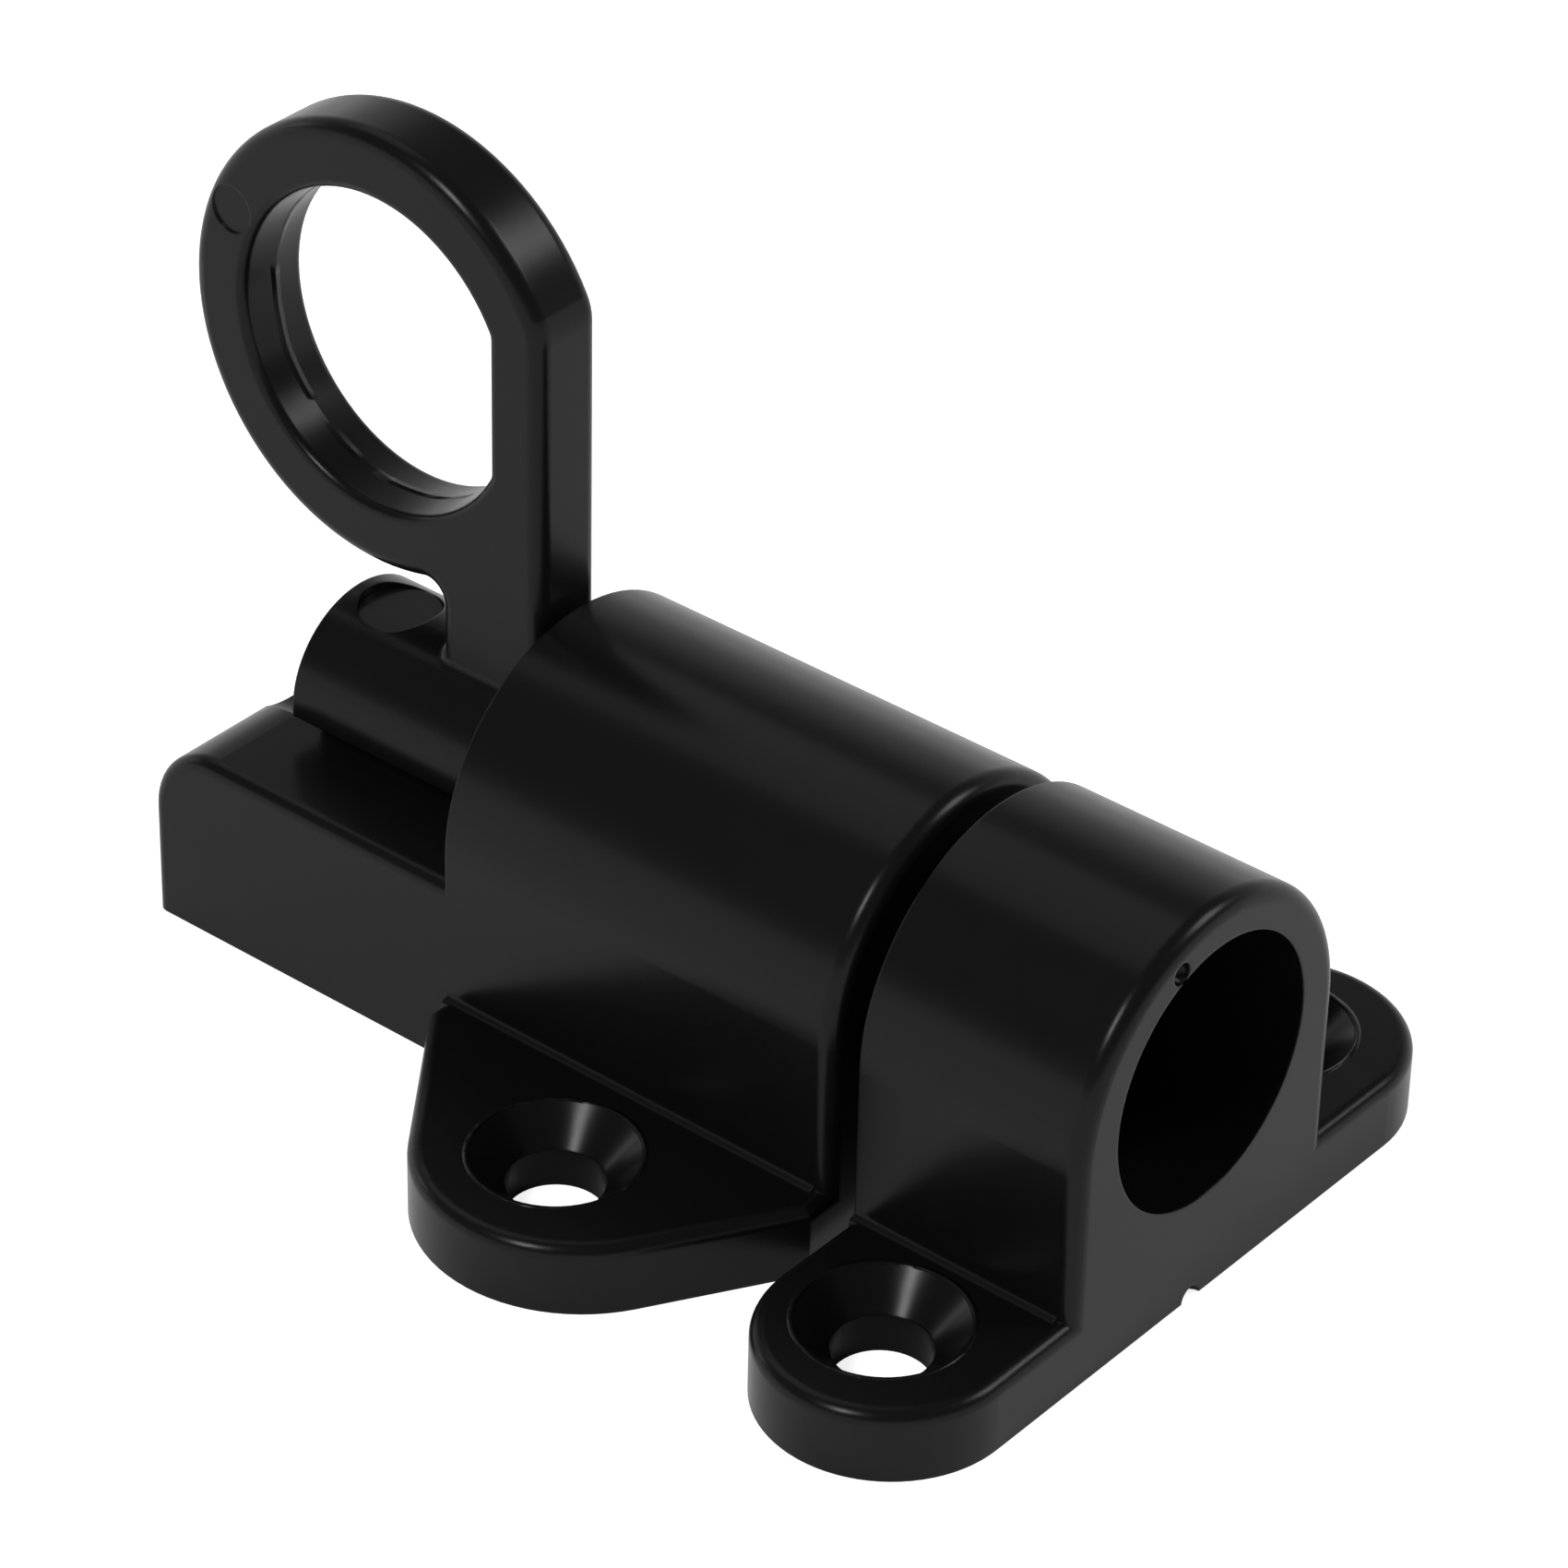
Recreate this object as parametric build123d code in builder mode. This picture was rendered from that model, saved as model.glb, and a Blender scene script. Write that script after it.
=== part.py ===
from build123d import *
import os
from math import cos, pi, sin

# Spring bolt: a pull ring draws a sprung bolt out of its keeper and back into the barrel.
# Frame: origin midway between the body's two screws on the mounting face,
# +X from the barrel towards the keeper, +Z away from the mounting face. Millimetres.

# Line on which the bolt slides
AXIS_Z = 12.4

# Clearances: a running fit, a bolt's slack beside fixed metal, and parts joined to each other
RUNNING_FIT = 0.08
SLACK = 0.33
JOINED = 0.02
TOUCH = 0.01

# Screws, the same in all four ears
SCREW_HOLE_RADIUS = 2.5
COUNTERSINK_RADIUS = 4.25
COUNTERSINK_ANGLE = 90
BODY_SCREW_SPACING = 31.6
KEEPER_SCREW_SPACING = 30.6

# Ears
EAR_THICKNESS = 3.9
EAR_RIM_FILLET = 0.7
CREASE_FILLET = 0.4

# Barrel of the body casting
BARREL_LENGTH = 24.7
BARREL_RADIUS = 9.9
BARREL_REAR_X = -12.5
BARREL_FRONT_X = BARREL_REAR_X + BARREL_LENGTH
REAR_WALL = 3.0
FRONT_FILLET = 0.9
BODY_EAR_TIP_RADIUS = 8.5
BODY_EAR_TIP_X = 0.4
BODY_EAR_TIP_INSET = 1.5
BODY_EAR_ROOT_STEP = 1.3
BODY_EAR_TIP_Y = BODY_SCREW_SPACING / 2 - BODY_EAR_TIP_INSET
BODY_EAR_ROOT_Y = BARREL_RADIUS + BODY_EAR_ROOT_STEP

# Tail block behind the barrel
BLOCK_LENGTH = 20.4
BLOCK_HEIGHT = 10.7
BLOCK_END_FILLET = 4.3
BLOCK_EDGE_FILLET = 0.7
BLOCK_REAR_X = BARREL_REAR_X - BLOCK_LENGTH

# Keeper
KEEPER_GAP = 1.8
KEEPER_LENGTH = 13.1
KEEPER_RADIUS = 10.1
KEEPER_AXIS_Z = 12.5
KEEPER_BORE_RADIUS = 7.27
KEEPER_BORE_Z = 13.2
KEEPER_EAR_TIP_OUTSET = 0.25
KEEPER_EAR_TIP_Y = KEEPER_SCREW_SPACING / 2 + KEEPER_EAR_TIP_OUTSET
KEEPER_SCREW_X = 20.0
KEEPER_REAR_X = BARREL_FRONT_X + KEEPER_GAP
KEEPER_MID_X = KEEPER_REAR_X + KEEPER_LENGTH / 2
KEEPER_FRONT_X = KEEPER_REAR_X + KEEPER_LENGTH

# Casting flaws on the keeper's front face: a gate notch in its bottom edge and a nick at its bore
NOTCH_Y = -0.5
NOTCH_RADIUS = 0.7
NICK_Y = -3.0
NICK_RADIUS = 0.6

# Bolt: a nose in the barrel and a thinner tail rod through the rear wall
NOSE_RADIUS = 6.15
NOSE_LENGTH = 15.6
NOSE_TIP_X = 19.1
NOSE_CHAMFER = 0.9
ROD_RADIUS = 3.65
ROD_CHAMFER = 0.3
SHOULDER_X = NOSE_TIP_X - NOSE_LENGTH

# Pull ring: ring, upright stem and saddle over the tail rod
STOP_GAP = 0.4
RING_X = -24.2
RING_Z = 33.1
RING_RADIUS = 12.2
RING_THICKNESS = 4.4
RING_RIM_FILLET = 0.85
RING_SHOULDER_FILLET = 3.0
FINGER_HOLE_RADIUS = 8.5
FINGER_HOLE_DRAFT = 6
FINGER_HOLE_FILLET = 0.5
CHORD_X = -16.65
CHORD_CORNER_FILLET = 0.7
STEM_LENGTH = 6.75
STEM_SETBACK = 0.2
STEM_REAR_FILLET = 1.0
SADDLE_RADIUS = 5.15
SADDLE_SETBACK = 5.6
SADDLE_DROP = 0.45
STEM_FOOT_FILLET = 0.6
SADDLE_FRONT_X = BARREL_REAR_X - STOP_GAP
STEM_FRONT_X = SADDLE_FRONT_X - STEM_SETBACK
STEM_REAR_X = STEM_FRONT_X - STEM_LENGTH
SADDLE_REAR_X = BLOCK_REAR_X + SADDLE_SETBACK
SADDLE_LENGTH = SADDLE_FRONT_X - SADDLE_REAR_X

# Round ejector mark on the ring's near face
EJECTOR_MARK_X = -33.5
EJECTOR_MARK_Z = 37.8
EJECTOR_MARK_RADIUS = 1.3
EJECTOR_MARK_DEPTH = 0.12

# Pin through the saddle and the tail rod, its flat top a little below the saddle's crown
PIN_RADIUS = 2.2
PIN_SETBACK = 2.8
PIN_DROP = 0.5
PIN_END_RECESS = 0.5
PIN_X = SADDLE_REAR_X + PIN_SETBACK
PIN_TOP_Z = AXIS_Z + SADDLE_RADIUS - PIN_DROP
PIN_BOTTOM_Z = AXIS_Z - ROD_RADIUS + PIN_END_RECESS

# Spring round the tail rod, closed for one turn at each end
WIRE_RADIUS = 0.45
COIL_RADIUS = 4.95
CLOSED_TURNS = 1
OPEN_TURNS = 3
POINTS_PER_TURN = 8
WIRE_SIDES = 8
SPRING_REAR_X = BARREL_REAR_X + REAR_WALL + WIRE_RADIUS + JOINED
SPRING_LENGTH = SHOULDER_X - WIRE_RADIUS - JOINED - SPRING_REAR_X

os.makedirs("parts", exist_ok=True)


def arch(radius, centre_z):
    """Half-round arch on straight sides, standing on the mounting face."""
    Rectangle(2 * radius, centre_z, align=(Align.CENTER, Align.MIN))
    with Locations((0, centre_z)):
        Circle(radius)


def screw_holes(x, spacing):
    """Countersunk holes through both ears, from above."""
    with Locations((x, spacing / 2, EAR_THICKNESS), (x, -spacing / 2, EAR_THICKNESS)):
        CounterSinkHole(
            radius=SCREW_HOLE_RADIUS,
            counter_sink_radius=COUNTERSINK_RADIUS,
            depth=EAR_THICKNESS,
            counter_sink_angle=COUNTERSINK_ANGLE,
        )


def round_front_rim(casting):
    """Round the arch's outline on a casting's front face, above the ears."""
    front = casting.faces().filter_by(Axis.X).sort_by(Axis.X)[-1]
    rim = front.edges().filter_by(lambda e: e.center().Z > EAR_THICKNESS)
    fillet(rim, radius=FRONT_FILLET)


def crease_fillets(rear_x, length, half_width):
    """Concave fillets along both creases between the ears' tops and the casting's sides."""
    with BuildSketch(Plane.YZ.offset(rear_x)) as profiles:
        for side in (-1, 1):
            corner = (side * (half_width + CREASE_FILLET), EAR_THICKNESS + CREASE_FILLET)
            inward = Align.MIN if side < 0 else Align.MAX
            with Locations(corner):
                Rectangle(2 * CREASE_FILLET, CREASE_FILLET + EAR_RIM_FILLET, align=(inward, Align.MAX))
                Circle(CREASE_FILLET, mode=Mode.SUBTRACT)
    extrude(profiles.sketch, amount=length)


# Tail block: a plain block with a rounded end
with BuildPart() as tail_block:
    with BuildSketch(Plane.YZ.offset(BLOCK_REAR_X)):
        Rectangle(2 * BARREL_RADIUS, BLOCK_HEIGHT, align=(Align.CENTER, Align.MIN))
    extrude(amount=BLOCK_LENGTH)
    end_face = tail_block.faces().sort_by(Axis.X)[0]
    fillet(end_face.edges().sort_by(Axis.Z)[-1], radius=BLOCK_END_FILLET)
    sides = tail_block.faces().filter_by(Axis.Y)
    outlines = sides.edges().filter_by(lambda e: e.center().Z > TOUCH and e.center().X < BARREL_REAR_X - TOUCH)
    fillet(outlines, radius=BLOCK_EDGE_FILLET)


# Pointed ears: the hull of two round tips and a root as long as the barrel
with BuildPart() as body_ears:
    with BuildSketch(Plane.XY):
        with BuildLine():
            for tip_y in (-BODY_EAR_TIP_Y, BODY_EAR_TIP_Y):
                CenterArc((BODY_EAR_TIP_X, tip_y), BODY_EAR_TIP_RADIUS, 0, 360)
            Polyline(
                (BARREL_REAR_X, BODY_EAR_ROOT_Y),
                (BARREL_FRONT_X, BODY_EAR_ROOT_Y),
                (BARREL_FRONT_X, -BODY_EAR_ROOT_Y),
                (BARREL_REAR_X, -BODY_EAR_ROOT_Y),
                close=True,
            )
        make_hull()
    extrude(amount=EAR_THICKNESS)
    fillet(body_ears.faces().sort_by(Axis.Z)[-1].edges(), radius=EAR_RIM_FILLET)


# Body casting: the barrel joins the ears and the block, then the bore, rear hole and trough are cut
with BuildPart() as body_casting:
    add(body_ears.part)
    with BuildSketch(Plane.YZ.offset(BARREL_REAR_X)):
        arch(BARREL_RADIUS, AXIS_Z)
    extrude(amount=BARREL_LENGTH)
    round_front_rim(body_casting)
    crease_fillets(BARREL_REAR_X, BARREL_LENGTH - FRONT_FILLET, BARREL_RADIUS)
    screw_holes(0, BODY_SCREW_SPACING)
    add(tail_block.part)

    with BuildSketch(Plane.YZ.offset(BARREL_REAR_X + REAR_WALL)):
        with Locations((0, AXIS_Z)):
            Circle(NOSE_RADIUS + RUNNING_FIT)
    extrude(amount=BARREL_LENGTH - REAR_WALL, mode=Mode.SUBTRACT)
    with BuildSketch(Plane.YZ.offset(BARREL_REAR_X)):
        with Locations((0, AXIS_Z)):
            Circle(ROD_RADIUS + RUNNING_FIT)
    extrude(amount=REAR_WALL, mode=Mode.SUBTRACT)
    with BuildSketch(Plane.YZ.offset(BLOCK_REAR_X)):
        with Locations((0, AXIS_Z)):
            Circle(ROD_RADIUS + SLACK)
    extrude(amount=BLOCK_LENGTH, mode=Mode.SUBTRACT)
body_casting.part.label = "body_casting"
export_step(body_casting.part, "parts/body_casting.step")


# Keeper casting: U-shaped ears under a short arch, with a bore that is set a little above the bolt's line
with BuildPart() as keeper_casting:
    with BuildSketch(Plane.XY):
        with Locations((KEEPER_MID_X, 0)):
            SlotCenterToCenter(2 * KEEPER_EAR_TIP_Y, KEEPER_LENGTH, rotation=90)
    extrude(amount=EAR_THICKNESS)
    fillet(keeper_casting.faces().sort_by(Axis.Z)[-1].edges(), radius=EAR_RIM_FILLET)

    with BuildSketch(Plane.YZ.offset(KEEPER_REAR_X)):
        arch(KEEPER_RADIUS, KEEPER_AXIS_Z)
    extrude(amount=KEEPER_LENGTH)
    round_front_rim(keeper_casting)
    crease_fillets(KEEPER_REAR_X, KEEPER_LENGTH - FRONT_FILLET, KEEPER_RADIUS)
    screw_holes(KEEPER_SCREW_X, KEEPER_SCREW_SPACING)

    with BuildSketch(Plane.YZ.offset(KEEPER_REAR_X)):
        with Locations((0, KEEPER_BORE_Z)):
            Circle(KEEPER_BORE_RADIUS)
    extrude(amount=KEEPER_LENGTH, mode=Mode.SUBTRACT)
    with Locations((KEEPER_FRONT_X, NOTCH_Y, 0)):
        Sphere(NOTCH_RADIUS, mode=Mode.SUBTRACT)
    with Locations((KEEPER_FRONT_X, NICK_Y, KEEPER_BORE_Z + KEEPER_BORE_RADIUS)):
        Sphere(NICK_RADIUS, mode=Mode.SUBTRACT)
keeper_casting.part.label = "keeper_casting"
export_step(keeper_casting.part, "parts/keeper_casting.step")


# Bolt: one turned bar, its tail rod drilled across for the pin
with BuildPart() as bolt:
    with BuildSketch(Plane.YZ.offset(SHOULDER_X)):
        with Locations((0, AXIS_Z)):
            Circle(NOSE_RADIUS)
    extrude(amount=NOSE_LENGTH)
    chamfer(bolt.faces().sort_by(Axis.X)[-1].edges(), length=NOSE_CHAMFER)
    with BuildSketch(Plane.YZ.offset(SADDLE_REAR_X)):
        with Locations((0, AXIS_Z)):
            Circle(ROD_RADIUS)
    extrude(amount=SHOULDER_X - SADDLE_REAR_X)
    chamfer(bolt.faces().sort_by(Axis.X)[0].edges(), length=ROD_CHAMFER)
    with Locations((PIN_X, 0, AXIS_Z)):
        Hole(PIN_RADIUS + JOINED)
bolt.part.label = "bolt"
export_step(bolt.part, "parts/bolt.step")


# Pull ring: the flat ring and stem are drawn side-on, then the half-round saddle is added under the stem
with BuildPart() as pull_ring:
    with BuildSketch(Plane.XZ) as ring_outline:
        with Locations((RING_X, RING_Z)):
            Circle(RING_RADIUS)
        with Locations((STEM_REAR_X, AXIS_Z)):
            Rectangle(STEM_LENGTH, RING_Z - AXIS_Z, align=(Align.MIN, Align.MIN))
        with Locations((STEM_FRONT_X, RING_Z)):
            Rectangle(RING_RADIUS, 4 * RING_RADIUS, align=(Align.MIN, Align.CENTER), mode=Mode.SUBTRACT)
        fillet(ring_outline.vertices().group_by(Axis.X)[-1].sort_by(Axis.Y)[-1], radius=RING_SHOULDER_FILLET)
        inner_corner = ring_outline.vertices().filter_by(lambda v: abs(v.X - STEM_REAR_X) < TOUCH)
        fillet(inner_corner.sort_by(Axis.Y)[-1], radius=STEM_REAR_FILLET)
    extrude(amount=RING_THICKNESS / 2, both=True)
    plate_faces = pull_ring.faces().filter_by(Axis.Y)
    fillet(plate_faces.edges().filter_by(lambda e: e.center().Z > AXIS_Z + TOUCH), radius=RING_RIM_FILLET)

    with BuildSketch(Plane.XZ) as finger_hole:
        with Locations((RING_X, RING_Z)):
            Circle(FINGER_HOLE_RADIUS)
        with Locations((CHORD_X, RING_Z)):
            Rectangle(RING_RADIUS, 2 * RING_RADIUS, align=(Align.MIN, Align.CENTER), mode=Mode.SUBTRACT)
        fillet(finger_hole.vertices(), radius=CHORD_CORNER_FILLET)
    extrude(amount=RING_THICKNESS, both=True, taper=-FINGER_HOLE_DRAFT, mode=Mode.SUBTRACT)
    hole_rims = [face.inner_wires()[0].edges() for face in pull_ring.faces().filter_by(Axis.Y)]
    fillet(hole_rims, radius=FINGER_HOLE_FILLET)

    with BuildSketch(Plane.YZ.offset(SADDLE_REAR_X)):
        with Locations((0, AXIS_Z)):
            Circle(SADDLE_RADIUS)
        with Locations((0, AXIS_Z - SADDLE_DROP)):
            Rectangle(
                2 * SADDLE_RADIUS, SADDLE_RADIUS, align=(Align.CENTER, Align.MAX), mode=Mode.SUBTRACT
            )
    extrude(amount=SADDLE_LENGTH)
    fillet(pull_ring.edges(Select.NEW), radius=STEM_FOOT_FILLET)
    with BuildSketch(Plane.YZ.offset(SADDLE_REAR_X)):
        with Locations((0, AXIS_Z)):
            Circle(ROD_RADIUS + JOINED)
    extrude(amount=SADDLE_LENGTH, mode=Mode.SUBTRACT)
    with BuildSketch(Plane.XY.offset(AXIS_Z)):
        with Locations((PIN_X, 0)):
            Circle(PIN_RADIUS + JOINED)
    extrude(amount=SADDLE_RADIUS, mode=Mode.SUBTRACT)
    with BuildSketch(Plane.XZ.offset(RING_THICKNESS / 2 - EJECTOR_MARK_DEPTH)):
        with Locations((EJECTOR_MARK_X, EJECTOR_MARK_Z)):
            Circle(EJECTOR_MARK_RADIUS)
    extrude(amount=EJECTOR_MARK_DEPTH, mode=Mode.SUBTRACT)
pull_ring.part.label = "pull_ring"
export_step(pull_ring.part, "parts/pull_ring.step")


# Cross pin: a plain pin that holds the saddle to the tail rod
with BuildPart() as cross_pin:
    with BuildSketch(Plane.XY.offset(PIN_BOTTOM_Z)):
        with Locations((PIN_X, 0)):
            Circle(PIN_RADIUS)
    extrude(amount=PIN_TOP_Z - PIN_BOTTOM_Z)
cross_pin.part.label = "cross_pin"
export_step(cross_pin.part, "parts/cross_pin.step")


def coil_advance(turn):
    """How far along X the wire has come after so many turns: close-wound at both ends, even between."""
    closed_pitch = 2 * WIRE_RADIUS + JOINED
    open_pitch = (SPRING_LENGTH - 2 * CLOSED_TURNS * closed_pitch) / OPEN_TURNS
    opened = min(max(turn - CLOSED_TURNS, 0), OPEN_TURNS)
    return (turn - opened) * closed_pitch + opened * open_pitch


def coil_point(turn):
    """Point on the wire's centre line after so many turns."""
    angle = 2 * pi * turn
    return (SPRING_REAR_X + coil_advance(turn), COIL_RADIUS * cos(angle), AXIS_Z + COIL_RADIUS * sin(angle))


# Spring: wire swept along a coil, its round section drawn with flats to keep the coil light
with BuildPart() as spring:
    total_turns = 2 * CLOSED_TURNS + OPEN_TURNS
    with BuildLine() as centre_line:
        Spline([coil_point(step / POINTS_PER_TURN) for step in range(total_turns * POINTS_PER_TURN + 1)])
    with BuildSketch(centre_line.line ^ 0):
        RegularPolygon(WIRE_RADIUS, WIRE_SIDES)
    sweep(path=centre_line.line, is_frenet=True)
spring.part.label = "spring"
export_step(spring.part, "parts/spring.step")
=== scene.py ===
"""Looks of a small spring bolt: black-coated castings, a sprung bolt drawn back by its pull ring.

Lengths are in metres in the frame of the CAD model: +X from the barrel towards the keeper, +Y across the
mounting face and +Z away from it.
"""

import logging
from dataclasses import dataclass, field
from enum import Enum
from math import cos, pi, radians, sin
from typing import Any, Mapping, Optional, Sequence, Union

import bpy
from mathutils import Matrix, Vector


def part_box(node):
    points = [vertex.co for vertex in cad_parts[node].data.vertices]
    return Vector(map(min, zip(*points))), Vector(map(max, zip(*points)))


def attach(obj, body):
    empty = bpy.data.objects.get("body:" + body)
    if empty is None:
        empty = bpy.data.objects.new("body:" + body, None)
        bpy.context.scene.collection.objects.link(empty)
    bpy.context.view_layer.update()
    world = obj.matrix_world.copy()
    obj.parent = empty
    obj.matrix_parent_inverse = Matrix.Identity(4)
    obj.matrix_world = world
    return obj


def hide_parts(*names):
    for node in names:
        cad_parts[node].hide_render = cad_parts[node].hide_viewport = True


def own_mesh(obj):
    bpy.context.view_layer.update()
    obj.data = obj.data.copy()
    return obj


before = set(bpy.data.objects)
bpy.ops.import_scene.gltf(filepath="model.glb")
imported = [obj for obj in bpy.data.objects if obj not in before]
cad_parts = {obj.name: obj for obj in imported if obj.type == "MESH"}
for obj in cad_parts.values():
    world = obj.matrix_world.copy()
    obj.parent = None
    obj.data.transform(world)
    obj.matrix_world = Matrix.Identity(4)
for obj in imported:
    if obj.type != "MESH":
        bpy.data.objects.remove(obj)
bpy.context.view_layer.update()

LOG = logging.getLogger("spring_bolt")
MM = 0.001
FADE_WIDTH = 1.0 * MM
NOISE_MIDDLE = 0.5
NOISE_ROUGHNESS = 0.5

Colour = tuple[float, float, float, float]
Number = Union[float, "Value"]


class Body(Enum):
    """Bodies of the CAD model that an added piece rides on."""

    HOUSING = "housing"


class Slot(Enum):
    """Material slots that an added piece takes."""

    SPRING_STEEL = "spring_steel"


class Layer(Enum):
    """Layers of noise in a finish: how far its seed lies past the finish's own, and its finer layers."""

    PEEL = (0.0, 2.0)
    TEMPER = (0.0, 3.0)
    MARKS = (2.0, 2.0)
    SWELL = (3.0, 1.0)
    CLOUD = (5.0, 2.0)
    MOTTLE = (7.0, 3.0)
    TONE = (11.0, 3.0)
    WANDER = (13.0, 1.0)
    BREAKS = (17.0, 1.0)


class Sum(Enum):
    """Operations of a Math node."""

    ADD = "ADD"
    SUBTRACT = "SUBTRACT"
    MULTIPLY = "MULTIPLY"
    DIVIDE = "DIVIDE"
    MINIMUM = "MINIMUM"
    MAXIMUM = "MAXIMUM"
    ABSOLUTE = "ABSOLUTE"
    SINE = "SINE"
    COSINE = "COSINE"
    SQRT = "SQRT"


class Value:
    """A number that a node gives, so that node maths reads as a Python expression."""

    def __init__(self, nodes: "Nodes", socket: bpy.types.NodeSocket) -> None:
        """Keep the socket and the tree it is in."""
        self.nodes = nodes
        self.socket = socket

    def _sum(self, operation: Sum, *terms: Number) -> "Value":
        """Add one Math node on the terms, in order, and give its result."""
        node = self.nodes.add("ShaderNodeMath", {"operation": operation.value}, dict(enumerate(terms)))
        return Value(self.nodes, node.outputs[0])

    def __add__(self, other: Number) -> "Value":
        """self + other"""
        return self._sum(Sum.ADD, self, other)

    def __radd__(self, other: Number) -> "Value":
        """other + self"""
        return self._sum(Sum.ADD, other, self)

    def __sub__(self, other: Number) -> "Value":
        """self - other"""
        return self._sum(Sum.SUBTRACT, self, other)

    def __rsub__(self, other: Number) -> "Value":
        """other - self"""
        return self._sum(Sum.SUBTRACT, other, self)

    def __mul__(self, other: Number) -> "Value":
        """self * other"""
        return self._sum(Sum.MULTIPLY, self, other)

    def __rmul__(self, other: Number) -> "Value":
        """other * self"""
        return self._sum(Sum.MULTIPLY, other, self)

    def __truediv__(self, other: Number) -> "Value":
        """self / other"""
        return self._sum(Sum.DIVIDE, self, other)

    def __rtruediv__(self, other: Number) -> "Value":
        """other / self"""
        return self._sum(Sum.DIVIDE, other, self)

    def __abs__(self) -> "Value":
        """abs(self)"""
        return self._sum(Sum.ABSOLUTE, self)

    def least(self, other: Number) -> "Value":
        """The smaller of self and other."""
        return self._sum(Sum.MINIMUM, self, other)

    def most(self, other: Number) -> "Value":
        """The larger of self and other."""
        return self._sum(Sum.MAXIMUM, self, other)

    def held(self, low: float, high: float) -> "Value":
        """self kept between low and high."""
        return self.most(low).least(high)

    def sine(self) -> "Value":
        """Sine of self in radians."""
        return self._sum(Sum.SINE, self)

    def cosine(self) -> "Value":
        """Cosine of self in radians."""
        return self._sum(Sum.COSINE, self)

    def root(self) -> "Value":
        """Square root of self."""
        return self._sum(Sum.SQRT, self)


class Nodes:
    """Adds nodes to one tree and links them."""

    def __init__(self, tree: bpy.types.NodeTree) -> None:
        """Take over a tree and clear it."""
        self.tree = tree
        tree.nodes.clear()

    def add(
        self,
        kind: str,
        settings: Optional[Mapping[str, Any]] = None,
        inputs: Optional[Mapping[Union[str, int], Any]] = None,
    ) -> bpy.types.Node:
        """Add a node, set it up and feed its inputs.

        Args:
            kind: Type of node.
            settings: The node's own settings.
            inputs: Values or links by the name or number of the input.

        Returns:
            The new node.
        """
        node = self.tree.nodes.new(kind)
        for name, value in (settings or {}).items():
            setattr(node, name, value)
        for name, value in (inputs or {}).items():
            self.feed(node.inputs[name], value)
        return node

    def feed(self, socket: bpy.types.NodeSocket, value: Any) -> None:
        """Link a value to an input, or set it there.

        Args:
            socket: Input socket.
            value: A Value, an output socket, or a plain value.
        """
        if isinstance(value, Value):
            self.tree.links.new(value.socket, socket)
        elif isinstance(value, bpy.types.NodeSocket):
            self.tree.links.new(value, socket)
        else:
            socket.default_value = value

    def value(self, node: bpy.types.Node, output: Union[str, int] = 0) -> Value:
        """One output of a node as a number."""
        return Value(self, node.outputs[output])

    def mix_colour(self, share: Value, first: Colour, second: Colour) -> bpy.types.NodeSocket:
        """Blend two colours: the first shows at a share of 0, the second at 1."""
        # By number, because the node has sockets of the same names for each kind of data
        node = self.add("ShaderNodeMix", {"data_type": "RGBA"}, {0: share, 6: first, 7: second})
        return node.outputs[2]

    def noise(self, place: bpy.types.NodeSocket, size: float, seed: float, layer: Layer) -> Value:
        """Soft noise about one half.

        Args:
            place: Vector socket with the place in metres.
            size: Rough distance between its patches in metres.
            seed: Value that gives each finish a pattern of its own.
            layer: Which of the finish's layers it is.

        Returns:
            The noise.
        """
        step, detail = layer.value
        node = self.add(
            "ShaderNodeTexNoise",
            {"noise_dimensions": "4D"},
            {
                "Vector": place,
                "W": seed + step,
                "Scale": 1.0 / size,
                "Detail": detail,
                "Roughness": NOISE_ROUGHNESS,
            },
        )
        return self.value(node)

    def mirrored(self, paths: bpy.types.Node) -> Value:
        """1 on rays that come by way of a mirror or through glass."""
        return self.value(paths, "Is Glossy Ray").most(self.value(paths, "Is Transmission Ray"))


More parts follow.
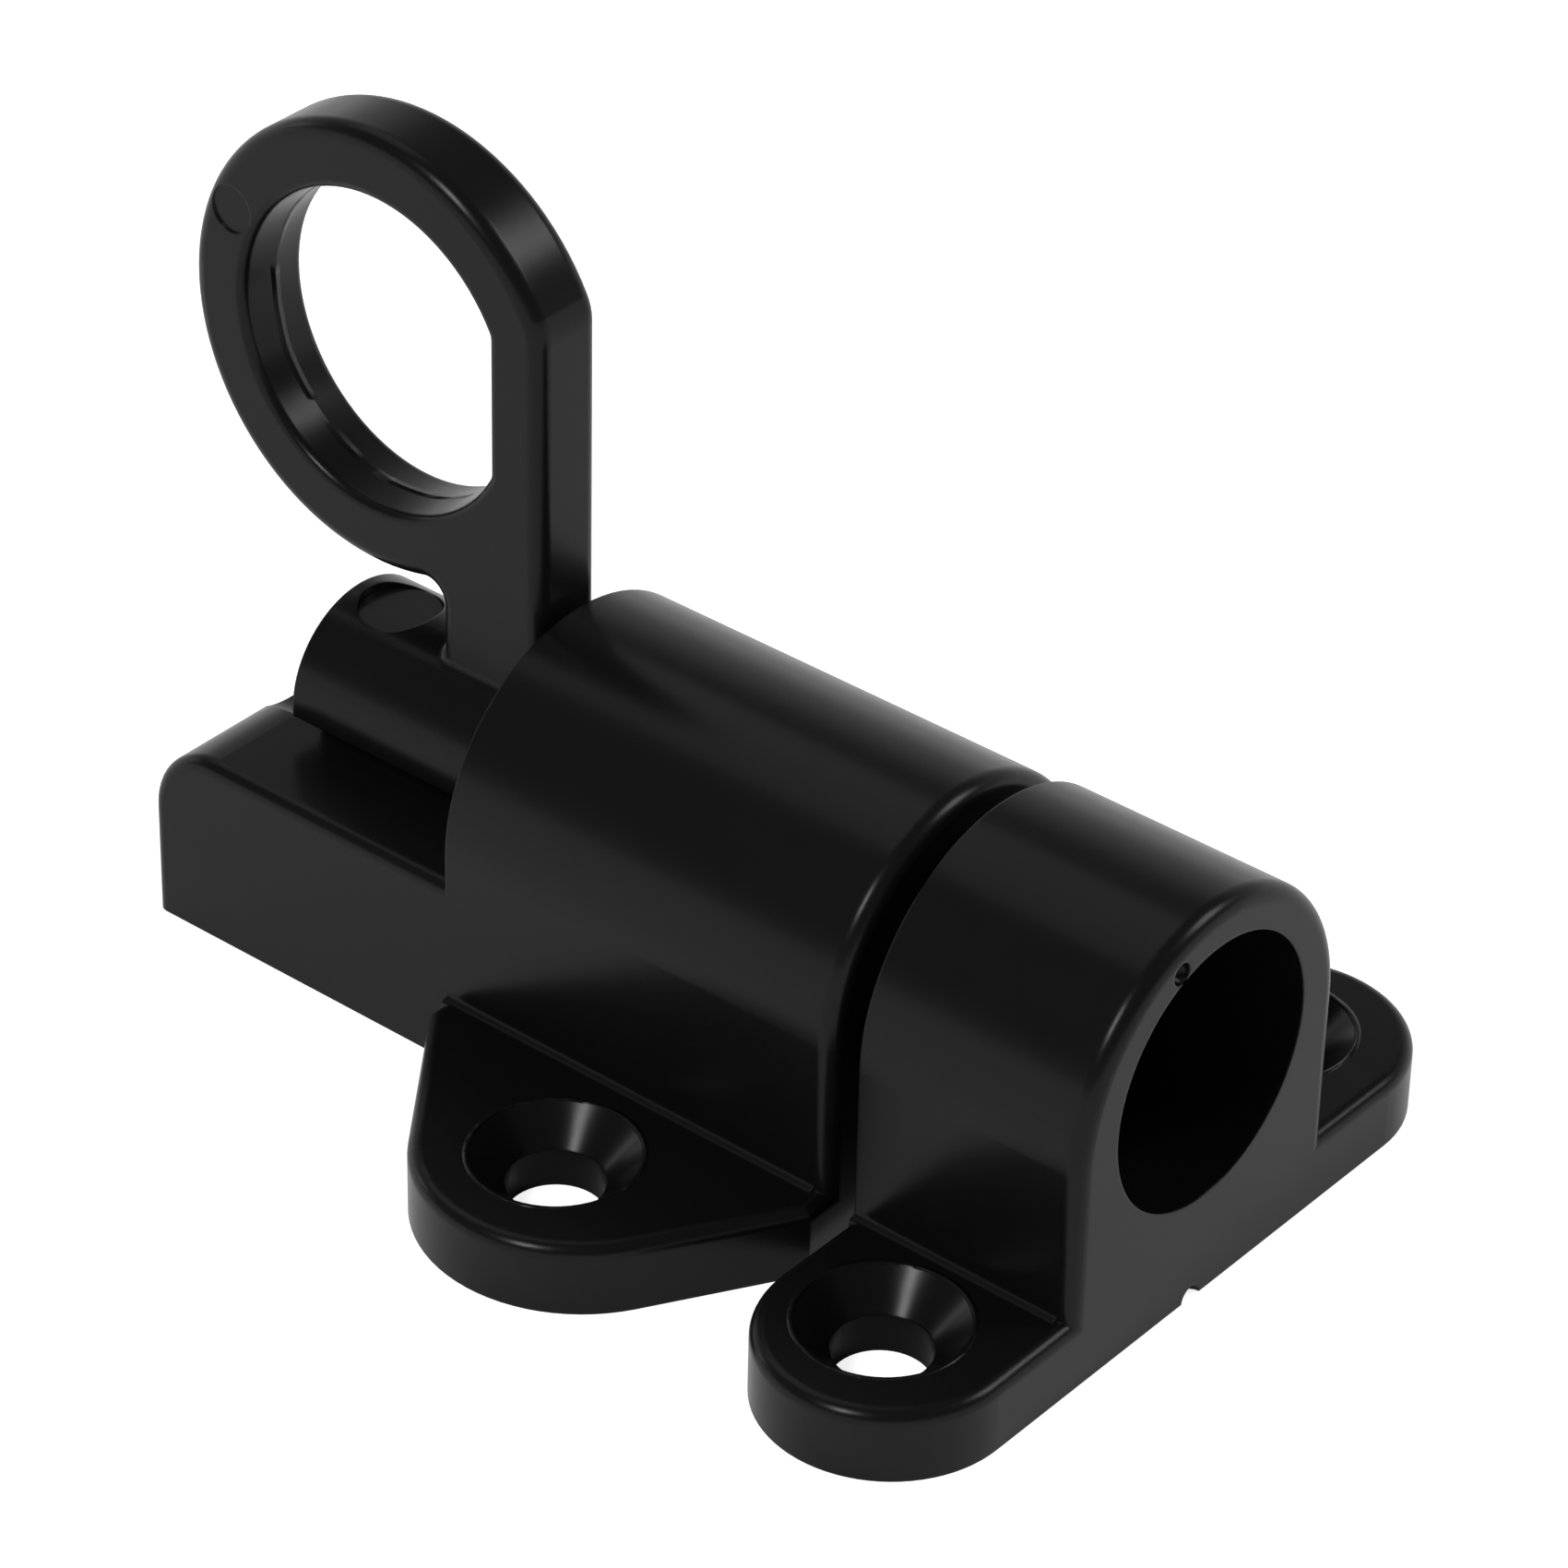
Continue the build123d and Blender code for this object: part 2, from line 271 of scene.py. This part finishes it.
@dataclass(frozen=True)
class CoatFinish:
    """Black coat baked on metal: slightly clouded, with fine orange peel, and round over sharp edges."""

    name: str
    seed: float = 1.0
    colour: Colour = (0.0060, 0.0060, 0.0064, 1.0)
    thin_colour: Colour = (0.0082, 0.0081, 0.0082, 1.0)
    roughness: float = 0.24
    roughness_spread: float = 0.06
    specular: float = 0.20
    cloud_size: float = 9.0 * MM
    mottle_size: float = 1.6 * MM
    peel_size: float = 0.85 * MM
    peel_depth: float = 0.0022 * MM
    swell_size: float = 5.5 * MM
    swell_depth: float = 0.007 * MM
    edge_radius: float = 0.16 * MM
    edge_samples: int = 4

    def relief(self, nodes: Nodes, place: bpy.types.NodeSocket) -> Value:
        """Height of the surface above its smooth shape.

        Args:
            nodes: Maker of the material's nodes.
            place: Vector socket with the place in metres.

        Returns:
            The height in metres.
        """
        peel = nodes.noise(place, self.peel_size, self.seed, Layer.PEEL)
        swell = nodes.noise(place, self.swell_size, self.seed, Layer.SWELL)
        return peel * self.peel_depth + swell * self.swell_depth

    def roughness_over(self, nodes: Nodes, place: bpy.types.NodeSocket) -> Value:
        """Roughness over the surface.

        Args:
            nodes: Maker of the material's nodes.
            place: Vector socket with the place in metres.

        Returns:
            The roughness.
        """
        cloud = nodes.noise(place, self.cloud_size, self.seed, Layer.CLOUD)
        mottle = nodes.noise(place, self.mottle_size, self.seed, Layer.MOTTLE)
        clouded = self.roughness + (cloud - NOISE_MIDDLE) * self.roughness_spread
        return clouded + (mottle - NOISE_MIDDLE) * self.roughness_spread

    def material(self) -> bpy.types.Material:
        """Build the material.

        Returns:
            The material, which reads Object coordinates.
        """
        material = bpy.data.materials.new(self.name)
        material.use_nodes = True
        nodes = Nodes(material.node_tree)
        place = nodes.add("ShaderNodeTexCoord").outputs["Object"]
        tone = nodes.noise(place, self.cloud_size, self.seed, Layer.TONE)
        shader = nodes.add(
            "ShaderNodeBsdfPrincipled",
            inputs={
                "Base Color": nodes.mix_colour(tone, self.colour, self.thin_colour),
                "Roughness": self.roughness_over(nodes, place),
                "Specular IOR Level": self.specular,
            },
        )
        rounded = nodes.add("ShaderNodeBevel", {"samples": self.edge_samples}, {"Radius": self.edge_radius})
        bump = nodes.add(
            "ShaderNodeBump",
            inputs={
                "Strength": 1.0,
                "Distance": 1.0,
                "Height": self.relief(nodes, place),
                "Normal": rounded.outputs["Normal"],
            },
        )
        nodes.feed(shader.inputs["Normal"], bump.outputs["Normal"])
        nodes.add("ShaderNodeOutputMaterial", inputs={"Surface": shader.outputs["BSDF"]})
        return material


@dataclass(frozen=True)
class ScrewPair:
    """Two countersunk screw holes, one on each side of the middle plane."""

    x: float
    y: float
    sink_radius: float = 4.25 * MM

    def reach(self, nodes: Nodes, place: bpy.types.NodeSocket) -> Value:
        """Distance from the nearer hole's axis.

        Args:
            nodes: Maker of the material's nodes.
            place: Vector socket with the place in metres.

        Returns:
            The distance in metres.
        """
        parts = nodes.add("ShaderNodeSeparateXYZ", inputs={0: place})
        ahead = nodes.value(parts, "X") - self.x
        aside = abs(nodes.value(parts, "Y")) - self.y
        return (ahead * ahead + aside * aside).root()


BODY_SCREWS = ScrewPair(0.0, 15.8 * MM)
KEEPER_SCREWS = ScrewPair(20.0 * MM, 15.3 * MM)


@dataclass(frozen=True)
class ScrewedFinish(CoatFinish):
    """Coat on a casting with screw ears, with a broken burr round the rims of its countersinks."""

    screws: ScrewPair = BODY_SCREWS
    burr_offset: float = 0.10 * MM
    burr_half_width: float = 0.16 * MM
    burr_height: float = 0.10 * MM
    burr_wander: float = 0.12 * MM
    burr_patch: float = 1.8 * MM
    break_level: float = 0.38
    break_slope: float = 7.0

    def relief(self, nodes: Nodes, place: bpy.types.NodeSocket) -> Value:
        """Height of the coat with the burrs on it.

        Args:
            nodes: Maker of the material's nodes.
            place: Vector socket with the place in metres.

        Returns:
            The height in metres.
        """
        patch = nodes.noise(place, self.burr_patch, self.seed, Layer.WANDER)
        middle = self.screws.sink_radius + self.burr_offset + (patch - NOISE_MIDDLE) * self.burr_wander
        aside = (self.screws.reach(nodes, place) - middle) / self.burr_half_width
        burr = (1.0 - aside * aside).most(0.0)
        kept = ((patch - self.break_level) * self.break_slope).held(0.0, 1.0)
        return super().relief(nodes, place) + burr * kept * self.burr_height


@dataclass(frozen=True)
class RingFinish(CoatFinish):
    """Coat on the pull ring, with the uneven ridge that the die's two halves leave inside its finger hole."""

    ring_radius: float = 12.2 * MM
    ridge_reach: float = 9.6 * MM
    ridge_half_width: float = 0.30 * MM
    ridge_height: float = 0.11 * MM
    ridge_wander: float = 0.6 * MM
    ridge_patch: float = 4.0 * MM
    break_patch: float = 2.6 * MM
    break_level: float = 0.42
    break_slope: float = 7.0

    def relief(self, nodes: Nodes, place: bpy.types.NodeSocket) -> Value:
        """Height of the coat with the parting ridge on it.

        Args:
            nodes: Maker of the material's nodes.
            place: Vector socket with the place in metres.

        Returns:
            The height in metres.
        """
        lowest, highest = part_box("pull_ring")
        parts = nodes.add("ShaderNodeSeparateXYZ", inputs={0: place})
        along, across, up = (nodes.value(parts, name) for name in "XYZ")
        beside = along - (lowest[0] + self.ring_radius)
        above = up - (highest[2] - self.ring_radius)
        inside = ((self.ridge_reach - (beside * beside + above * above).root()) / FADE_WIDTH).held(0.0, 1.0)
        patch = nodes.noise(place, self.ridge_patch, self.seed, Layer.WANDER)
        middle = (patch - NOISE_MIDDLE) * self.ridge_wander
        ridge = (1.0 - abs(across - middle) / self.ridge_half_width).most(0.0)
        breaks = nodes.noise(place, self.break_patch, self.seed, Layer.BREAKS)
        kept = ((breaks - self.break_level) * self.break_slope).held(0.0, 1.0)
        return super().relief(nodes, place) + ridge * kept * inside * self.ridge_height


@dataclass(frozen=True)
class TurnedFinish(CoatFinish):
    """Coat on turned bar, with the lathe's fine rings showing through along X."""

    ring_pitch: float = 0.16 * MM
    ring_depth: float = 0.0008 * MM

    def relief(self, nodes: Nodes, place: bpy.types.NodeSocket) -> Value:
        """Height of the coat over the turned rings.

        Args:
            nodes: Maker of the material's nodes.
            place: Vector socket with the place in metres.

        Returns:
            The height in metres.
        """
        along = nodes.value(nodes.add("ShaderNodeSeparateXYZ", inputs={0: place}), "X")
        rings = (along * (2.0 * pi / self.ring_pitch)).sine()
        return super().relief(nodes, place) + rings * self.ring_depth


@dataclass(frozen=True)
class WireFinish:
    """Drawn spring wire: oiled steel with faint tempering colour and fine drawing marks."""

    name: str = "drawn_spring_wire"
    seed: float = 41.0
    colour: Colour = (0.36, 0.345, 0.32, 1.0)
    temper_colour: Colour = (0.26, 0.22, 0.17, 1.0)
    roughness: float = 0.3
    roughness_spread: float = 0.16
    patch_size: float = 3.0 * MM
    mark_size: float = 0.16 * MM
    mark_depth: float = 0.002 * MM

    def material(self) -> bpy.types.Material:
        """Build the material.

        Returns:
            The material, which reads Object coordinates.
        """
        material = bpy.data.materials.new(self.name)
        material.use_nodes = True
        nodes = Nodes(material.node_tree)
        place = nodes.add("ShaderNodeTexCoord").outputs["Object"]
        patch = nodes.noise(place, self.patch_size, self.seed, Layer.TEMPER)
        marks = nodes.noise(place, self.mark_size, self.seed, Layer.MARKS)
        bump = nodes.add(
            "ShaderNodeBump",
            inputs={"Strength": 1.0, "Distance": 1.0, "Height": marks * self.mark_depth},
        )
        shader = nodes.add(
            "ShaderNodeBsdfPrincipled",
            inputs={
                "Base Color": nodes.mix_colour(patch, self.colour, self.temper_colour),
                "Metallic": 1.0,
                "Roughness": self.roughness + (patch - NOISE_MIDDLE) * self.roughness_spread,
                "Normal": bump.outputs["Normal"],
            },
        )
        nodes.add("ShaderNodeOutputMaterial", inputs={"Surface": shader.outputs["BSDF"]})
        return material


@dataclass(frozen=True)
class FloorFinish:
    """Matt pale board that takes the object's shadow.

    It reads white to the eye, and in mirrors too, except that its mirrored glow carries a painted shadow
    under the screw ears.
    """

    name: str = "pale_floor"
    colour: Colour = (0.86, 0.86, 0.86, 1.0)
    lift: float = 0.82
    mirrored_lift: float = 0.38
    painted_shadow_reach: float = 5.0 * MM

    def material(self) -> bpy.types.Material:
        """Build the material.

        Returns:
            The floor's material.
        """
        material = bpy.data.materials.new(self.name)
        material.use_nodes = True
        nodes = Nodes(material.node_tree)
        paths = nodes.add("ShaderNodeLightPath")
        seen = nodes.value(paths, "Is Camera Ray")
        strength = seen * self.lift + nodes.mirrored(paths) * self.mirrored_lift
        place = nodes.add("ShaderNodeTexCoord").outputs["Object"]
        # Painted shadow: within reach of the screw holes under the ears, the glow that mirrors see is cut to
        # nothing, so the floor there looks unlit.
        reach = BODY_SCREWS.reach(nodes, place).least(KEEPER_SCREWS.reach(nodes, place))
        outside_painted_shadow = ((reach - self.painted_shadow_reach) / FADE_WIDTH).held(0.0, 1.0)
        glow_share_with_painted_shadow = outside_painted_shadow.most(seen)
        board = nodes.add("ShaderNodeBsdfDiffuse", inputs={"Color": self.colour})
        glow = nodes.add("ShaderNodeEmission", inputs={"Color": glow_share_with_painted_shadow, "Strength": strength})
        shown = nodes.add("ShaderNodeAddShader", inputs={0: board.outputs[0], 1: glow.outputs[0]})
        nodes.add("ShaderNodeOutputMaterial", inputs={"Surface": shown.outputs[0]})
        return material


@dataclass(frozen=True)
class RoomFinish:
    """Light of the room: a low white wall all round, a tall backdrop behind the object, and dusk above."""

    name: str = "studio_room"
    colour: Colour = (1.0, 1.0, 1.0, 1.0)
    dusk: float = 0.14
    horizon: float = 0.48
    horizon_height: float = 0.35
    backdrop: float = 0.42
    backdrop_top: float = 0.62
    back_x: float = -0.63
    back_y: float = 0.777
    back_start: float = 0.15
    back_slope: float = 2.2
    top_slope: float = 6.0
    wall_top: float = 0.20
    wall_fade: float = 0.06

    def world(self) -> bpy.types.World:
        """Build the world.

        Returns:
            The world, lit by direction in the object's frame.
        """
        world = bpy.data.worlds.new(self.name)
        world.use_nodes = True
        nodes = Nodes(world.node_tree)
        direction = nodes.add("ShaderNodeTexCoord").outputs["Generated"]
        parts = nodes.add("ShaderNodeSeparateXYZ", inputs={0: direction})
        x, y, z = (nodes.value(parts, name) for name in "XYZ")
        low = (1.0 - abs(z) / self.horizon_height).held(0.0, 1.0)
        behind = ((x * self.back_x + y * self.back_y - self.back_start) * self.back_slope).held(0.0, 1.0)
        under_top = ((self.backdrop_top - z) * self.top_slope).held(0.0, 1.0)
        room_light = self.dusk + low * self.horizon + behind * under_top * self.backdrop
        paths = nodes.add("ShaderNodeLightPath")
        wall = ((self.wall_top - z) / self.wall_fade).held(0.0, 1.0)
        shown = nodes.value(paths, "Is Camera Ray").most(nodes.mirrored(paths))
        strength = room_light.most(shown * wall)
        room = nodes.add("ShaderNodeBackground", inputs={"Color": self.colour, "Strength": strength})
        nodes.add("ShaderNodeOutputWorld", inputs={"Surface": room.outputs[0]})
        return world


class FrameNode:
    """A node of the CAD model that keeps its mesh and takes a new finish."""

    def __init__(self, name: str) -> None:
        """Find the node by its name in the CAD model."""
        self.name = name
        self.object: bpy.types.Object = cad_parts[name]

    def dress(self, material: bpy.types.Material) -> None:
        """Put a material on each of the node's slots.

        Args:
            material: Finish of the whole node.
        """
        for slot in self.object.material_slots:
            slot.material = material
        LOG.info("%s keeps its CAD mesh in %s", self.name, material.name)


@dataclass
class Castings:
    """The two die castings that are screwed down: the body with its tail block, and the keeper."""

    body_finish: CoatFinish = field(default_factory=lambda: ScrewedFinish("body_coat", seed=1.0))
    keeper_finish: CoatFinish = field(
        default_factory=lambda: ScrewedFinish("keeper_coat", seed=2.0, screws=KEEPER_SCREWS)
    )

    def build(self) -> None:
        """Dress both castings."""
        FrameNode("body_casting").dress(self.body_finish.material())
        FrameNode("keeper_casting").dress(self.keeper_finish.material())


@dataclass
class Plunger:
    """What the hand draws back: the turned bolt, the ring and saddle on its tail, and the pin."""

    bolt_finish: CoatFinish = field(default_factory=lambda: TurnedFinish("bolt_coat", seed=21.0))
    ring_finish: CoatFinish = field(default_factory=lambda: RingFinish("ring_coat", seed=31.0))
    pin_finish: CoatFinish = field(default_factory=lambda: CoatFinish("pin_coat", seed=51.0))

    def build(self) -> None:
        """Dress the three pieces."""
        FrameNode("bolt").dress(self.bolt_finish.material())
        FrameNode("pull_ring").dress(self.ring_finish.material())
        FrameNode("cross_pin").dress(self.pin_finish.material())


@dataclass
class CoilSpring:
    """Compression spring round the bolt's tail, closed for a turn at each end."""

    coil_radius: float = 4.95 * MM
    wire_radius: float = 0.45 * MM
    rear_x: float = -9.03 * MM
    front_x: float = 3.03 * MM
    axis_z: float = 12.4 * MM
    closed_turns: int = 1
    open_turns: int = 3
    closed_pitch: float = 0.92 * MM
    points_per_turn: int = 36
    wire_sides: int = 14
    fixed_end_x: float = -9.5 * MM
    free_end_x: float = 3.5 * MM
    draw: float = 7.5 * MM
    finish: WireFinish = field(default_factory=WireFinish)

    def _inputs(self) -> dict[str, Union[int, float]]:
        """Gather the sizes that the coil's tree takes.

        Returns:
            Each size under the name of its input, in their order.
        """
        closed_length = 2 * self.closed_turns * self.closed_pitch
        return {
            "Coil Radius": self.coil_radius,
            "Wire Radius": self.wire_radius,
            "Rear X": self.rear_x,
            "Axis Z": self.axis_z,
            "Closed Turns": float(self.closed_turns),
            "Open Turns": float(self.open_turns),
            "Closed Pitch": self.closed_pitch,
            "Open Pitch": (self.front_x - self.rear_x - closed_length) / self.open_turns,
            "Points Per Turn": self.points_per_turn,
            "Wire Sides": self.wire_sides,
        }

    def _tree(self, material: bpy.types.Material) -> bpy.types.GeometryNodeTree:
        """Build the tree that winds the wire.

        Args:
            material: The wire's material.

        Returns:
            The tree, with an input for each size.
        """
        tree = bpy.data.node_groups.new("wound_spring", "GeometryNodeTree")
        tree.interface.new_socket("Geometry", in_out="INPUT", socket_type="NodeSocketGeometry")
        for name, size in self._inputs().items():
            kind = "NodeSocketInt" if isinstance(size, int) else "NodeSocketFloat"
            tree.interface.new_socket(name, in_out="INPUT", socket_type=kind)
        tree.interface.new_socket("Geometry", in_out="OUTPUT", socket_type="NodeSocketGeometry")
        nodes = Nodes(tree)
        given = nodes.add("NodeGroupInput")
        radius, rear, axis = (nodes.value(given, name) for name in ("Coil Radius", "Rear X", "Axis Z"))
        closed, opened = nodes.value(given, "Closed Turns"), nodes.value(given, "Open Turns")
        closed_pitch, open_pitch = nodes.value(given, "Closed Pitch"), nodes.value(given, "Open Pitch")
        points = nodes.value(given, "Points Per Turn")
        count = (closed * 2.0 + opened) * points + 1.0
        rough = nodes.add("GeometryNodeCurvePrimitiveLine")
        wire = nodes.add("GeometryNodeResampleCurve", inputs={"Curve": rough.outputs[0], "Count": count})
        turn = nodes.value(nodes.add("GeometryNodeInputIndex")) / points
        in_open = (turn - closed).most(0.0).least(opened)
        along = rear + (turn - in_open) * closed_pitch + in_open * open_pitch
        angle = turn * (2.0 * pi)
        place = nodes.add(
            "ShaderNodeCombineXYZ",
            inputs={0: along, 1: radius * angle.cosine(), 2: axis + radius * angle.sine()},
        )
        wound = nodes.add(
            "GeometryNodeSetPosition",
            inputs={"Geometry": wire.outputs[0], "Position": place.outputs[0]},
        )
        section = nodes.add(
            "GeometryNodeCurvePrimitiveCircle",
            inputs={"Resolution": given.outputs["Wire Sides"], "Radius": given.outputs["Wire Radius"]},
        )
        solid = nodes.add(
            "GeometryNodeCurveToMesh",
            inputs={"Curve": wound.outputs[0], "Profile Curve": section.outputs[0], "Fill Caps": True},
        )
        smooth = nodes.add("GeometryNodeSetShadeSmooth", inputs={"Geometry": solid.outputs[0]})
        real = nodes.add("GeometryNodeRealizeInstances", inputs={"Geometry": smooth.outputs[0]})
        finished = nodes.add(
            "GeometryNodeSetMaterial",
            inputs={"Geometry": real.outputs[0], "Material": material},
        )
        nodes.add("NodeGroupOutput", inputs={0: finished.outputs[0]})
        return tree

    def wind(self) -> bpy.types.Object:
        """Wind the wire and turn it into a plain mesh.

        Returns:
            The spring's object, at the origin.
        """
        material = self.finish.material()
        seed = bpy.data.objects.new("spring_path", bpy.data.meshes.new("spring_path"))
        bpy.context.scene.collection.objects.link(seed)
        modifier = seed.modifiers.new("wind", "NODES")
        modifier.node_group = self._tree(material)
        for item in modifier.node_group.interface.items_tree:
            if item.in_out == "INPUT" and item.name in self._inputs():
                modifier[item.identifier] = self._inputs()[item.name]
        evaluated = seed.evaluated_get(bpy.context.evaluated_depsgraph_get())
        mesh = bpy.data.meshes.new_from_object(evaluated)
        bpy.data.objects.remove(seed)
        mesh.name = "coil_spring"
        spring = bpy.data.objects.new("coil_spring", mesh)
        bpy.context.scene.collection.objects.link(spring)
        return spring

    def build(self) -> None:
        """Wind the spring, hide the CAD model's spring and hang the wound one on the housing."""
        spring = self.wind()
        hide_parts("spring")
        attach(spring, Body.HOUSING.value)
        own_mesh(spring)
        LOG.info("coil_spring wound with %d polygons", len(spring.data.polygons))


@dataclass(frozen=True)
class SoftBox:
    """A rectangular studio lamp that looks at a point on the object."""

    name: str
    place: tuple[float, float, float]
    aim: tuple[float, float, float]
    width: float
    height: float
    radiance: float

    def hang(self) -> None:
        """Add the lamp to the scene, its power set so that its face has the wanted brightness."""
        data = bpy.data.lights.new(self.name, "AREA")
        data.shape = "RECTANGLE"
        data.size = self.width
        data.size_y = self.height
        data.energy = self.radiance * pi * self.width * self.height
        lamp = bpy.data.objects.new(self.name, data)
        direction = Vector(self.aim) - Vector(self.place)
        turned = direction.to_track_quat("-Z", "Y").to_matrix().to_4x4()
        lamp.matrix_world = Matrix.Translation(self.place) @ turned
        bpy.context.scene.collection.objects.link(lamp)


@dataclass
class Studio:
    """Pale floor, soft lamps and the camera at the photograph's angle."""

    floor_half: float = 3.0
    floor_finish: FloorFinish = field(default_factory=FloorFinish)
    room_finish: RoomFinish = field(default_factory=RoomFinish)
    camera_place: tuple[float, float, float] = (0.16200, -0.19852, 0.19044)
    azimuth: float = 39.071
    elevation: float = 34.032
    roll: float = 1.374
    lens: float = 145.64
    sensor: float = 36.0
    nearest_seen: float = 0.01
    lamps: Sequence[SoftBox] = (
        SoftBox("overhead_box", (-0.43, 0.13, 0.70), (0.0, 0.0, 0.0), 0.50, 0.50, 0.58),
        SoftBox("back_box", (0.50, 0.55, 0.69), (0.0, 0.0, 0.02), 0.34, 0.34, 6.0),
        SoftBox("front_box", (-0.02, -0.66, 0.75), (0.0, 0.0, 0.0), 0.15, 0.30, 20.0),
        SoftBox("left_box", (-0.92, -0.18, 0.33), (0.0, 0.0, 0.0), 0.12, 0.12, 3.0),
    )

    def lay_floor(self) -> None:
        """Lay the floor under the object."""
        half = self.floor_half
        mesh = bpy.data.meshes.new("studio_floor")
        corners = [(-half, -half, 0.0), (half, -half, 0.0), (half, half, 0.0), (-half, half, 0.0)]
        mesh.from_pydata(corners, [], [(0, 1, 2, 3)])
        mesh.materials.append(self.floor_finish.material())
        floor = bpy.data.objects.new("studio_floor", mesh)
        bpy.context.scene.collection.objects.link(floor)

    def light(self) -> None:
        """Hang the lamps and light the room."""
        for lamp in self.lamps:
            lamp.hang()
        bpy.context.scene.world = self.room_finish.world()

    def place_camera(self) -> None:
        """Set the camera where the photograph was taken from."""
        turn, rise, roll = radians(self.azimuth), radians(self.elevation), radians(self.roll)
        back = Vector((sin(turn) * cos(rise), -cos(turn) * cos(rise), sin(rise)))
        right = (-back).cross(Vector((0.0, 0.0, 1.0))).normalized()
        upward = right.cross(-back)
        rolled_right = right * cos(roll) + upward * sin(roll)
        rolled_up = upward * cos(roll) - right * sin(roll)
        data = bpy.data.cameras.new("photo_camera")
        data.sensor_width = self.sensor
        data.lens = self.lens
        data.clip_start = self.nearest_seen
        camera = bpy.data.objects.new("photo_camera", data)
        turned = Matrix((rolled_right, rolled_up, back)).transposed().to_4x4()
        camera.matrix_world = Matrix.Translation(self.camera_place) @ turned
        bpy.context.scene.collection.objects.link(camera)
        bpy.context.scene.camera = camera

    def build(self) -> None:
        """Set up the whole studio."""
        self.lay_floor()
        self.light()
        self.place_camera()
        bpy.context.scene.view_settings.view_transform = "Standard"
        LOG.info("studio set with %d lamps", len(self.lamps))


def main() -> None:
    """Build each part of the scene in order."""
    logging.basicConfig(level=logging.INFO, format="%(name)s: %(message)s")
    for part in (Castings(), Plunger(), CoilSpring(), Studio()):
        part.build()
        LOG.info("%s done", type(part).__name__)


if __name__ == "__main__":
    main()
